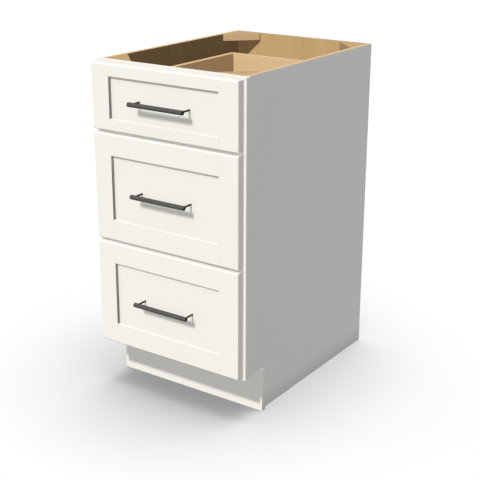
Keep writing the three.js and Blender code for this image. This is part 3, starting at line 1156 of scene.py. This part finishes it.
bm = bmesh.new()
half = FLOOR_SIZE / 2
corners = [(-half, -half, 0), (half, -half, 0), (half, half, 0), (-half, half, 0)]
bm.faces.new([bm.verts.new(corner) for corner in corners])
floor_material, tree, place = start_material("plain_white_floor")
matt = add_node(tree, "ShaderNodeBsdfDiffuse", {"Color": (*[FLOOR_ALBEDO] * 3, 1.0)})
glow = add_node(tree, "ShaderNodeEmission", {"Color": WHITE, "Strength": FLOOR_GLOW})
both = add_node(tree, "ShaderNodeAddShader", {0: matt, 1: glow})
shown = add_node(tree, "ShaderNodeMixShader", {0: seen_directly(tree), 1: matt, 2: both})
add_node(tree, "ShaderNodeOutputMaterial", {"Surface": shown})
floor = new_piece("floor", bm, [floor_material])
floor.visible_diffuse = False
print("floor", FLOOR_SIZE, "m wide, glowing at", FLOOR_GLOW)

# %% World
FAINT = 0.08

world = bpy.data.worlds.new("studio")
bpy.context.scene.world = world
world.use_nodes = True
tree = world.node_tree
tree.nodes.clear()
ambient = add_node(tree, "ShaderNodeBackground", {"Color": WHITE, "Strength": FAINT})
backdrop = add_node(tree, "ShaderNodeBackground", {"Color": WHITE, "Strength": 1.0})
sky = add_node(tree, "ShaderNodeMixShader", {0: seen_directly(tree), 1: ambient, 2: backdrop})
add_node(tree, "ShaderNodeOutputWorld", {"Surface": sky})
print("ambient light", FAINT)

# %% [markdown]
# ## Lights
# One sun shines from straight in front of the cabinet, 39 degrees up. In the picture its shadows
# are soft on the fronts, crisp and a little steeper inside the carcass, and steep under the toe
# overhang, so the sun is made once for each, and linked to what it lights. The white faces between
# those shadows are as even as paper, so the fill lights from in front cast no shadow, apart from
# one wide, weak one on the fronts. The face frame, the drawer boxes and the upward faces have
# levels of their own, which match the picture and not a real studio. Inside, the birch walls light
# each other, and that fill is as warm as the wood.

# %% Light levels, directions and widths
PLAIN, BIRCH_BOUNCE = (1.0, 1.0, 1.0), (1.0, 0.84, 0.76)
SUN_ASIDE = -0.015
KEY_SLOPE, INSIDE_SLOPE, TOE_SLOPE = 0.80, 0.92, 1.085
SOFT_DEG, CRISP_DEG, TOE_DEG = 9.0, 1.0, 3.0
KEY_LEVEL, FRAME_KEY, BOX_KEY = 0.50, 0.38, 0.55
FILL_LEVEL, FRAME_FILL, SOFT_FILL = 0.42, 0.54, 0.15
FILL_SLOPE, RECESS_SLOPE = 1.1, 1.7
SOFT_FILL_DEG = 80.0
SIDE_LEVEL, FRONT_SIDE = 0.35, 0.318
RECESS_SIDE, WALL_SIDE = 0.125, 0.16
SIDE_TOWARDS, SIDE_DEG = (1, 0.25, 0), 0.2
SIDE_TOPS, BOX_TOPS, INSIDE_TOPS = 0.48, 0.27, 0.14
INSIDE_FILL, INSIDE_TOWARDS = 0.31, (1, -0.7, 0)
BEHIND_LEVEL, BEHIND_TOWARDS, BEHIND_DEG = 0.7, (-0.7, 1, 0), 20.0
FLOOR_LEVEL, FLOOR_TOWARDS, FLOOR_DEG = 0.54, (0.04, 0.08, 1), 44.0
FLOOR_SKY, FLOOR_SKY_DEG = 0.48, 178.0
print("the sun stands", round(math.degrees(math.atan(KEY_SLOPE))), "degrees up")

# %% Kinds of light
def upright(level, slope):
    """The level of a sun at that slope which brings an upright front to level."""
    return level * math.hypot(1, slope)


def sun(towards, level, width=0.0, shadows=True, colour=PLAIN):
    """A sun in the direction towards; its width, in degrees, softens its shadows."""
    data = bpy.data.lights.new("sun", "SUN")
    data.energy = level * math.pi
    data.color = colour
    data.angle = math.radians(width)
    data.use_shadow = shadows
    lamp = bpy.data.objects.new("sun", data)
    bpy.context.scene.collection.objects.link(lamp)
    lamp.rotation_euler = Vector(towards).to_track_quat("Z", "Y").to_euler()
    return lamp


def key_sun(slope, width, level=KEY_LEVEL):
    """The sun in front of the cabinet, at that slope."""
    return sun((SUN_ASIDE, -1, slope), upright(level, slope), width)


def front_fill(level=FILL_LEVEL, slope=FILL_SLOPE):
    """A light from in front that casts no shadow."""
    return sun((0, -1, slope), upright(level, slope), shadows=False)


def side_fills(even, level=SIDE_LEVEL):
    """Light from the right: an even part, and a part that other pieces can block."""
    return sun((1, 0, 0), even, shadows=False), sun(SIDE_TOWARDS, level - even, SIDE_DEG)


def inside_fill():
    """The warm light that the birch walls pass on to each other."""
    return sun(INSIDE_TOWARDS, INSIDE_FILL, shadows=False, colour=BIRCH_BOUNCE)


def top_fill(level):
    """A light from straight above that casts no shadow."""
    return sun((0, 0, 1), level, shadows=False)


def behind_fill():
    """Light for the views from behind; it makes no gloss, which would whiten the tops."""
    lamp = sun(BEHIND_TOWARDS, BEHIND_LEVEL, BEHIND_DEG)
    lamp.visible_glossy = False
    return lamp


def light_up(name, pieces, lamps):
    """Makes the lamps shine on these pieces alone; each piece belongs to one such group."""
    group = bpy.data.collections.new(f"lit_{name}")
    for piece in pieces:
        group.objects.link(piece)
    for lamp in lamps:
        lamp.name = f"{name}_light"
        lamp.light_linking.receiver_collection = group
    print(name, "has", len(pieces), "pieces under", len(lamps), "lights")


def named(*words):
    """The pieces shown whose names hold any of the words."""
    return [piece for piece in shown_pieces if any(word in piece.name for word in words)]


shown_pieces = [o for o in bpy.data.objects if o.type == "MESH" and not o.hide_render]
print("there are", len(shown_pieces), "pieces to light, the floor among them")

# %% Lighting each group
fronts = named("_front_members", "_front_panel")
pulls = named("_bar_pull")
face_frame = named("face_frame_")
toe = named("toe_board")
sides = named("_side_panel")
boxes = named("_box_")
grouped = fronts + pulls + face_frame + toe + sides + boxes + [floor]
inside = [piece for piece in shown_pieces if piece not in grouped]
recess_fills = [
    front_fill(FILL_LEVEL - SOFT_FILL, RECESS_SLOPE),
    sun((0, -1, KEY_SLOPE), upright(SOFT_FILL, KEY_SLOPE), SOFT_FILL_DEG),
]
floor_lamps = [
    sun(FLOOR_TOWARDS, FLOOR_LEVEL, FLOOR_DEG),
    sun((0, 0, 1), FLOOR_SKY, FLOOR_SKY_DEG),
]
light_up(
    "fronts",
    fronts,
    [
        key_sun(KEY_SLOPE, SOFT_DEG),
        *recess_fills,
        *side_fills(RECESS_SIDE, FRONT_SIDE),
        behind_fill(),
    ],
)
light_up("pulls", pulls, [key_sun(KEY_SLOPE, SOFT_DEG), front_fill(), behind_fill()])
light_up(
    "face_frame",
    face_frame,
    [
        key_sun(KEY_SLOPE, CRISP_DEG, FRAME_KEY),
        front_fill(FRAME_FILL),
        *side_fills(RECESS_SIDE),
        behind_fill(),
    ],
)
light_up(
    "toe",
    toe,
    [key_sun(TOE_SLOPE, TOE_DEG), front_fill(), *side_fills(RECESS_SIDE), behind_fill()],
)
light_up(
    "sides",
    sides,
    [key_sun(KEY_SLOPE, CRISP_DEG), top_fill(SIDE_TOPS), *side_fills(WALL_SIDE), behind_fill()],
)
light_up(
    "boxes",
    boxes,
    [
        key_sun(INSIDE_SLOPE, CRISP_DEG, BOX_KEY),
        top_fill(BOX_TOPS),
        inside_fill(),
        behind_fill(),
    ],
)
light_up(
    "inside",
    inside,
    [key_sun(INSIDE_SLOPE, CRISP_DEG), top_fill(INSIDE_TOPS), inside_fill(), behind_fill()],
)
light_up("floor", [floor], floor_lamps)

# %% [markdown]
# ## The end
# The looks never change the cabinet's size. The colours are shown through the Standard view
# transform.

# %% The end
scene = bpy.context.scene
scene.view_settings.view_transform = "Standard"
